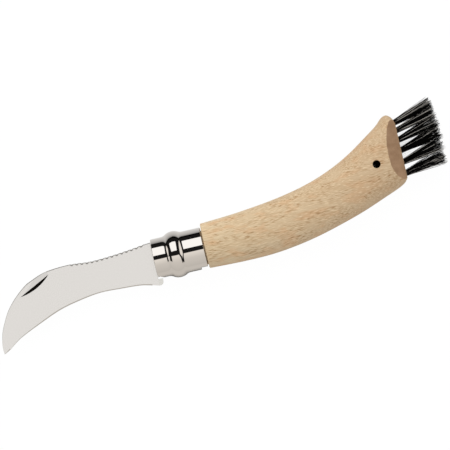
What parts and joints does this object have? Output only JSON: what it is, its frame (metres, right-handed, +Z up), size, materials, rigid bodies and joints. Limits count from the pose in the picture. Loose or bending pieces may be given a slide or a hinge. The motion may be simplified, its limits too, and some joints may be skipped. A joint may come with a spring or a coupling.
{
  "type": "folding mushroom knife",
  "caption": "Folding mushroom knife with a hooked blade, a turning locking ring, a curved wooden handle and a bristle brush at its end.",
  "frame": {"origin": "on the surface that the knife lies on, under the middle of its bounding box", "axes": "+X along the knife towards the brush, +Y towards the spine side of the open blade, +Z up through the thickness of the handle"},
  "size_m": [0.2206, 0.071, 0.0219],
  "materials": {
    "beech": "waxed pale beech",
    "satin_steel": "satin stainless steel",
    "polished_steel": "mirror polished stainless steel",
    "pin_steel": "satin stainless steel",
    "blade_steel": "fine satin stainless steel",
    "bristle": "black natural bristle",
    "anchor_steel": "plain flat wire"
  },
  "bodies": {
    "knife_handle": {"handle": "beech", "fixed_collar": "satin_steel", "pivot_pin": "pin_steel", "tuft_upper_1": "bristle", "tuft_upper_2": "bristle", "tuft_upper_3": "bristle", "tuft_upper_4": "bristle", "tuft_upper_5": "bristle", "tuft_upper_6": "bristle", "tuft_lower_1": "bristle", "tuft_lower_2": "bristle", "tuft_lower_3": "bristle", "tuft_lower_4": "bristle", "tuft_lower_5": "bristle", "tuft_lower_6": "bristle", "tuft_anchor_upper_1": "anchor_steel", "tuft_anchor_upper_2": "anchor_steel", "tuft_anchor_upper_3": "anchor_steel", "tuft_anchor_upper_4": "anchor_steel", "tuft_anchor_upper_5": "anchor_steel", "tuft_anchor_upper_6": "anchor_steel", "tuft_anchor_lower_1": "anchor_steel", "tuft_anchor_lower_2": "anchor_steel", "tuft_anchor_lower_3": "anchor_steel", "tuft_anchor_lower_4": "anchor_steel", "tuft_anchor_lower_5": "anchor_steel", "tuft_anchor_lower_6": "anchor_steel"},
    "folding_blade": {"blade": "blade_steel"},
    "lock": {"locking_ring": "polished_steel"}
  },
  "joints": [
    {"name": "blade_fold", "type": "hinge", "parent": "knife_handle", "child": "folding_blade", "pos_m": [-0.02197, -0.01039, 0.01095], "axis": [0, 0, 1], "range_deg": [0, 178]},
    {"name": "ring_turn", "type": "hinge", "parent": "knife_handle", "child": "lock", "pos_m": [-0.02197, -0.00799, 0.01095], "axis": [1, 0, 0], "range_deg": [-90, 0]}
  ]
}
